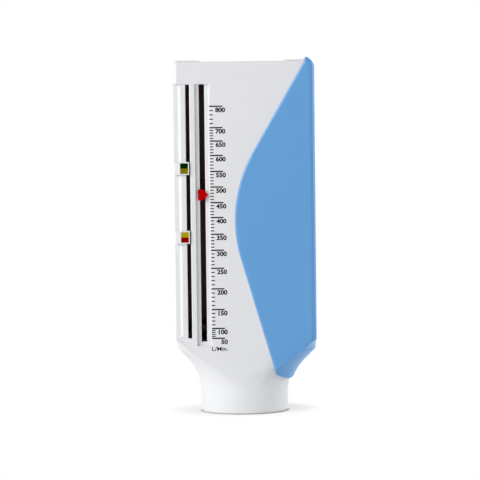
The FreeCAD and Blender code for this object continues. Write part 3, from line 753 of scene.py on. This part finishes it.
@dataclass
class ScalePrint:
    """The flow scale printed on the housing's face: long and short marks, numbers and the unit.

    Attributes:
        face: where the housing's face is along Y.
        ink: how far the print stands out of the face and reaches into it.
        left: where all marks begin.
        long_end: where the long marks end.
        short_end: where the short marks end.
        long_height: how thick the long marks are.
        short_height: how thick the short marks are.
        steps: how many steps there are from one long mark to the next.
        number_right: where the numbers end.
        number_drop: how far below its mark's middle a number's top is.
        number_height: how tall the numbers are.
        digit_pitch: the width that a digit takes.
        one_narrower: how much narrower a number is that begins with a 1.
        boldness: how much the digits' strokes are thickened, in letters one unit tall.
        unit_text: the unit under the numbers.
        unit_boldness: how much its strokes are thickened.
        unit_height: how tall it is.
        unit_base: where its base line is.
        letter_depth: how deep the raw letters are, before they are made as thin as the ink.
        curve_steps: how many pieces each curve of a letter is cut into.
        marks: the height of each number's long mark.
        points: the points printed so far, in metres.
        faces: their faces.
    """

    face: float = -15.0
    ink: float = 0.02
    left: float = -14.15
    long_end: float = -8.45
    short_end: float = -12.55
    long_height: float = 0.58
    short_height: float = 0.45
    steps: int = 5
    number_right: float = -7.2
    number_drop: float = 0.5
    number_height: float = 2.0
    digit_pitch: float = 1.45
    one_narrower: float = 0.35
    boldness: float = 0.042
    unit_text: str = "L/Min."
    unit_boldness: float = 0.018
    unit_height: float = 1.68
    unit_base: float = 28.23
    letter_depth: float = 0.01
    curve_steps: int = 3
    marks: dict[int, float] = field(
        default_factory=lambda: {
            50: 33.7, 100: 38.0, 150: 46.3, 200: 55.4, 250: 64.4, 300: 72.3, 350: 79.3,
            400: 86.6, 450: 93.1, 500: 99.9, 550: 106.7, 600: 113.6, 650: 119.9, 700: 125.7,
            800: 135.0,
        }
    )
    points: list[Vector] = field(default_factory=list)
    faces: list[tuple[int, ...]] = field(default_factory=list)

    def mark(self, middle: float, end: float, height: float) -> None:
        """Adds one mark as a thin closed plate.

        Args:
            middle: where its middle is on the scale.
            end: where its right end is.
            height: how thick it is.
        """
        start = len(self.points)
        low, high = middle - height / 2, middle + height / 2
        for y in (self.face - self.ink, self.face + self.ink):
            for x, z in ((self.left, low), (end, low), (end, high), (self.left, high)):
                self.points.append(Vector((x, y, z)) * MM)
        around = ((0, 4, 5, 1), (1, 5, 6, 2), (2, 6, 7, 3), (3, 7, 4, 0))
        sides = ((0, 1, 2, 3), (7, 6, 5, 4), *around)
        self.faces += [tuple(start + corner for corner in side) for side in sides]

    def word(self, text: str, width: float, base: float, height: float, boldness: float) -> None:
        """Adds a word of print that ends at the numbers' right edge.

        Args:
            text: the word.
            width: how wide it is.
            base: where its base line is on the scale.
            height: how tall it is.
            boldness: how much its strokes are thickened, in letters one unit tall.
        """
        curve = bpy.data.curves.new("lettering", "FONT")
        curve.body = text
        curve.size = 1.0
        curve.extrude = self.letter_depth
        curve.offset = boldness
        curve.resolution_u = self.curve_steps
        holder = bpy.data.objects.new("lettering", curve)
        bpy.context.scene.collection.objects.link(holder)
        bpy.context.view_layer.update()
        evaluated = holder.evaluated_get(bpy.context.evaluated_depsgraph_get())
        mesh = bpy.data.meshes.new_from_object(evaluated)
        xs = [v.co.x for v in mesh.vertices]
        ys = [v.co.y for v in mesh.vertices]
        zs = [v.co.z for v in mesh.vertices]
        wide = width / (max(xs) - min(xs))
        tall = height / max(ys)
        deep = self.ink / max(zs)
        start = len(self.points)
        for vertex in mesh.vertices:
            x, y, z = vertex.co
            across = self.number_right - (max(xs) - x) * wide
            self.points.append(Vector((across, self.face - z * deep, base + y * tall)) * MM)
        self.faces += [tuple(start + index for index in face.vertices) for face in mesh.polygons]
        bpy.data.objects.remove(holder)
        bpy.data.curves.remove(curve)
        bpy.data.meshes.remove(mesh)

    def build(self) -> None:
        """Prints the whole scale as one piece on the housing."""
        flows = sorted(self.marks)
        for flow in flows:
            middle = self.marks[flow]
            self.mark(middle, self.long_end, self.long_height)
            base = middle - self.number_drop - self.number_height
            text = str(flow)
            width = self.digit_pitch * len(text) - (self.one_narrower if text[0] == "1" else 0.0)
            self.word(text, width, base, self.number_height, self.boldness)
        for low, high in zip(flows, flows[1:]):
            for step in range(1, self.steps):
                share = (self.marks[high] - self.marks[low]) * step / self.steps
                self.mark(self.marks[low] + share, self.short_end, self.short_height)
        width = self.number_right - self.left
        self.word(self.unit_text, width, self.unit_base, self.unit_height, self.unit_boldness)
        finish, slot = Finish.SCALE_INK, "follower_black"
        added("scale_print", self.points, self.faces, finish, Body.HOUSING)


@dataclass
class PointerSlide:
    """The red pointer with its dark follower and friction spring."""

    def build(self) -> None:
        """Dresses the slide's pieces."""
        dressed("pointer", Finish.POINTER_RED)
        dressed("pointer_follower", Finish.FOLLOWER_BLACK)
        dressed("pointer_friction_spring", Finish.BLUED_STEEL)


@dataclass
class ZoneMarker:
    """A white saddle clip with two coloured chips.

    Attributes:
        side: which marker it is, as its nodes' names begin.
        chips: the finish of each chip, by the colour in its node's name.
    """

    side: str
    chips: dict[str, Finish]

    def build(self) -> None:
        """Dresses the clip and its chips."""
        dressed(f"{self.side}_zone_marker", Finish.MARKER_WHITE)
        for colour, finish in self.chips.items():
            dressed(f"{self.side}_marker_{colour}_chip", finish)


@dataclass
class Vane:
    """The vane with its bush, clip and spring seat."""

    def build(self) -> None:
        """Dresses the vane's pieces."""
        dressed("vane", Finish.VANE_PLASTIC)
        dressed("vane_bush", Finish.BUSH_PLASTIC)
        dressed("vane_clip", Finish.SPRING_STEEL)
        dressed("spring_seat", Finish.ROD_STEEL)


@dataclass
class GuideRod:
    """The rod with its foot frame, top socket, washers and bumpers."""

    def build(self) -> None:
        """Dresses the rod's pieces."""
        dressed("guide_rod", Finish.ROD_STEEL)
        dressed("rod_foot_frame", Finish.FRAME_PLASTIC)
        dressed("rod_foot_clip", Finish.SPRING_STEEL)
        dressed("rod_top_socket", Finish.FRAME_PLASTIC)
        dressed("spring_top_washer", Finish.ROD_STEEL)
        dressed("lower_bumper", Finish.BUMPER_RUBBER)
        dressed("upper_bumper", Finish.BUMPER_RUBBER)


@dataclass
class ReturnSpring:
    """The long helical spring, with a closed coil at each end, as one still piece on the housing.

    The real one shortens as the vane rises.

    Attributes:
        radius: how far the wire's middle is from the spring's axis.
        wire: the wire's radius.
        turns: how many open turns there are.
        closed_turns: how many closed turns there are at each end.
        closed_pitch: how far the closed turns climb, in wire widths a turn.
        points_per_turn: how many points one turn of the wire has.
        sides: how many sides the wire has.
        bend: the largest bend that is shaded round, in degrees.
    """

    radius: float = 4.3
    wire: float = 0.25
    turns: float = 15.0
    closed_turns: float = 1.25
    closed_pitch: float = 1.02
    points_per_turn: int = 28
    sides: int = 8
    bend: float = 60.0

    def spine(self, rise: float) -> list[tuple[float, float]]:
        """The path of the wire's middle.

        Args:
            rise: how high it climbs.

        Returns:
            The angle and the height of each of its points.
        """
        closed_rise = self.closed_turns * 2 * self.wire * self.closed_pitch
        whole = self.turns + 2 * self.closed_turns
        count = round(whole * self.points_per_turn)
        path = []
        for index in range(count + 1):
            turn = whole * index / count
            if turn < self.closed_turns:
                z = closed_rise * turn / self.closed_turns
            elif turn > whole - self.closed_turns:
                z = rise - closed_rise * (whole - turn) / self.closed_turns
            else:
                share = (turn - self.closed_turns) / self.turns
                z = closed_rise + (rise - 2 * closed_rise) * share
            path.append((2 * math.pi * turn, z))
        return path

    def build(self) -> None:
        """Makes the spring in place of the frame's plain helix."""
        low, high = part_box("return_spring")
        centre = (low + high) / 2
        base = low.z / MM + self.wire
        spine = self.spine((high.z - low.z) / MM - 2 * self.wire)
        count = len(spine) - 1
        points, faces = [], []
        for angle, z in spine:
            out = Vector((math.cos(angle), math.sin(angle), 0.0))
            for side in range(self.sides):
                around = 2 * math.pi * side / self.sides
                spot = out * (self.radius + self.wire * math.cos(around))
                spot.z = base + z + self.wire * math.sin(around)
                points.append(Vector((centre.x, centre.y, 0.0)) + spot * MM)
        for ring in range(count):
            for side in range(self.sides):
                following = (side + 1) % self.sides
                first, second = ring * self.sides, (ring + 1) * self.sides
                faces.append((first + side, second + side, second + following, first + following))
        faces.append(tuple(range(self.sides)))
        faces.append(tuple(count * self.sides + side for side in reversed(range(self.sides))))
        finish, slot = Finish.SPRING_STEEL, "spring_steel"
        piece = added("wound_return_spring", points, faces, finish, Body.HOUSING)
        softened(piece, self.bend)
        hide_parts("return_spring")
        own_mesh(piece)


# Studio


@dataclass(frozen=True)
class Lamp:
    """A soft rectangular lamp that looks at the meter's middle.

    Attributes:
        name: the lamp's name.
        place: where it hangs, in metres.
        width: how wide it is, in metres.
        height: how tall it is, in metres.
        power: its power, in watts.
        tint: the colour of its light.
    """

    name: str
    place: Triple
    width: float
    height: float
    power: float
    tint: Colour = WHITE

    def build(self, target: Vector) -> None:
        """Hangs the lamp and turns it to its target.

        Args:
            target: what it looks at, in metres.
        """
        light = bpy.data.lights.new(self.name, "AREA")
        light.shape = "RECTANGLE"
        light.size, light.size_y = self.width, self.height
        light.energy = self.power
        light.color = self.tint
        holder = bpy.data.objects.new(self.name, light)
        holder.location = self.place
        holder.rotation_mode = "QUATERNION"
        holder.rotation_quaternion = (target - Vector(self.place)).to_track_quat("-Z", "Y")
        bpy.context.scene.collection.objects.link(holder)


@dataclass
class Studio:
    """The white floor, the soft light and the camera.

    Attributes:
        distance: how far in front of the meter the camera is, in metres.
        eye_height: how high it is, in metres.
        aim_x: how far to the side it and its aim are, in metres.
        aim_z: how high it aims, in metres.
        lens: its focal length, in millimetres.
        sensor: its sensor's width, in millimetres.
        nearest: the nearest thing that it sees, in metres.
        lean: how far it leans to the side, in degrees.
        floor_size: the floor's side, in metres.
        floor_colour: the floor's colour where it takes the shadow.
        rim: half the width and half the depth of the mouth tube's rim, which stands on the floor.
        contact: the reach, in sizes of the rim, from where to where the painted shadow under its
            edge fades.
        contact_grey: how light the floor is painted there, as a shadow under the rim's edge.
        shade: half the width and half the depth of the oval that the shadow is measured from.
        shade_back: how far behind the middle the oval is.
        shade_white: how white the floor shows in the shadow, as a share.
        shade_reach: the reach, in sizes of the oval, from where to where the shadow fades.
        sky: how strong the light from all around is.
        target: what the lamps look at, in metres.
        lamps: the lamps.
    """

    distance: float = 1.04
    eye_height: float = 0.1495
    aim_x: float = -0.0014
    aim_z: float = 0.0756
    lens: float = 176.8
    sensor: float = 36.0
    nearest: float = 0.01
    lean: float = 0.67
    floor_size: float = 3.0
    floor_colour: Colour = (0.93, 0.93, 0.94)
    rim: tuple[float, float] = (19.2, 15.0)
    contact: tuple[float, float] = (1.0, 1.06)
    contact_grey: float = 0.55
    shade: tuple[float, float] = (19.2, 14.0)
    shade_back: float = 3.0
    shade_white: float = 0.45
    shade_reach: tuple[float, float] = (1.1, 1.9)
    sky: float = 0.18
    target: Vector = field(default_factory=lambda: Vector((0.0, 0.0, 0.08)))
    lamps: tuple[Lamp, ...] = (
        Lamp("key_lamp", (-1.5, -0.9, 0.7), 0.8, 1.0, 21.8),
        Lamp("front_lamp", (-0.8, -1.6, 0.9), 0.8, 0.8, 8.2),
        Lamp("right_lamp", (1.5, 0.25, 0.5), 1.1, 1.2, 14.5, (1.0, 0.98, 0.93)),
        Lamp("back_lamp", (0.7, 1.5, 0.8), 1.0, 1.0, 10.0),
    )

    def build_floor(self) -> None:
        """Lays the floor: near the meter it shows the real soft shadow and painted shadow, and
        further out it is plain white.
        """
        half = self.floor_size / 2
        mesh = bpy.data.meshes.new("floor")
        corners = [(-half, -half, 0), (half, -half, 0), (half, half, 0), (-half, half, 0)]
        mesh.from_pydata(corners, [], [(0, 1, 2, 3)])
        graph = Graph("studio_floor")
        white = graph.add("ShaderNodeEmission")
        graph.feed(white.inputs["Color"], WHITE)
        matt = graph.add("ShaderNodeBsdfDiffuse")
        # Painted shadow: in a thin ring round the rim's edge the floor is coloured contact_grey,
        # with no plain white mixed in.
        near = graph.step(graph.reach(self.rim), *self.contact)
        tint = graph.blend(near, (self.contact_grey,) * 3, self.floor_colour)
        graph.feed(matt.inputs["Color"], tint)
        paths = graph.add("ShaderNodeLightPath")
        seen = graph.calc("MAXIMUM", paths.outputs["Is Camera Ray"], paths.outputs["Is Glossy Ray"])
        # Partly painted shadow: inside the oval the camera sees less plain white and more matt
        # floor, darker even where lit.
        far = graph.step(graph.reach(self.shade, self.shade_back), *self.shade_reach)
        white_share = graph.calc("MULTIPLY", graph.between(far, self.shade_white, 1.0), near)
        mix = graph.add("ShaderNodeMixShader")
        graph.feed(mix.inputs["Fac"], graph.calc("MULTIPLY", seen, white_share))
        graph.feed(mix.inputs[1], matt.outputs[0])
        graph.feed(mix.inputs[2], white.outputs[0])
        output = graph.add("ShaderNodeOutputMaterial")
        graph.feed(output.inputs["Surface"], mix.outputs[0])
        mesh.materials.append(graph.material)
        floor = bpy.data.objects.new("floor", mesh)
        bpy.context.scene.collection.objects.link(floor)

    def build_sky(self) -> None:
        """Surrounds the scene with soft light that looks plain white."""
        world = bpy.data.worlds.new("studio")
        world.use_nodes = True
        tree = world.node_tree
        tree.nodes.clear()
        paths = tree.nodes.new("ShaderNodeLightPath")
        seen = tree.nodes.new("ShaderNodeMath")
        seen.operation = "MAXIMUM"
        tree.links.new(paths.outputs["Is Camera Ray"], seen.inputs[0])
        tree.links.new(paths.outputs["Is Glossy Ray"], seen.inputs[1])
        strength = tree.nodes.new("ShaderNodeMapRange")
        tree.links.new(seen.outputs[0], strength.inputs["Value"])
        strength.inputs["To Min"].default_value = self.sky
        strength.inputs["To Max"].default_value = 1.0
        back = tree.nodes.new("ShaderNodeBackground")
        back.inputs["Color"].default_value = (*WHITE, 1.0)
        tree.links.new(strength.outputs["Result"], back.inputs["Strength"])
        output = tree.nodes.new("ShaderNodeOutputWorld")
        tree.links.new(back.outputs[0], output.inputs["Surface"])
        bpy.context.scene.world = world

    def build_camera(self) -> None:
        """Sets up the camera."""
        camera = bpy.data.cameras.new("camera")
        camera.lens = self.lens
        camera.sensor_width = self.sensor
        camera.clip_start = self.nearest
        holder = bpy.data.objects.new("camera", camera)
        holder.location = (self.aim_x, -self.distance, self.eye_height)
        look = Vector((self.aim_x, 0.0, self.aim_z)) - holder.location
        turn = Quaternion((0.0, 0.0, 1.0), -math.radians(self.lean))
        holder.rotation_mode = "QUATERNION"
        holder.rotation_quaternion = look.to_track_quat("-Z", "Y") @ turn
        bpy.context.scene.collection.objects.link(holder)
        bpy.context.scene.camera = holder

    def build(self) -> None:
        """Builds the studio."""
        self.build_floor()
        self.build_sky()
        for lamp in self.lamps:
            lamp.build(self.target)
        self.build_camera()
        bpy.context.scene.view_settings.view_transform = "Standard"
        log.info("studio: floor, sky, %d lamps and camera", len(self.lamps))


def main() -> None:
    """Builds the meter's looks in order."""
    logging.basicConfig(level=logging.INFO, format="%(message)s")
    Studio().build()
    Housing().build()
    GripCover().build()
    ScalePrint().build()
    PointerSlide().build()
    ZoneMarker("upper", {"green": Finish.CHIP_GREEN, "yellow": Finish.CHIP_OLIVE}).build()
    ZoneMarker("lower", {"yellow": Finish.CHIP_YELLOW, "red": Finish.CHIP_RED}).build()
    Vane().build()
    GuideRod().build()
    ReturnSpring().build()


def note_sizes() -> None:
    """Updates the scene's view layer."""
    bpy.context.view_layer.update()


if __name__ == "__main__":
    main()
    note_sizes()
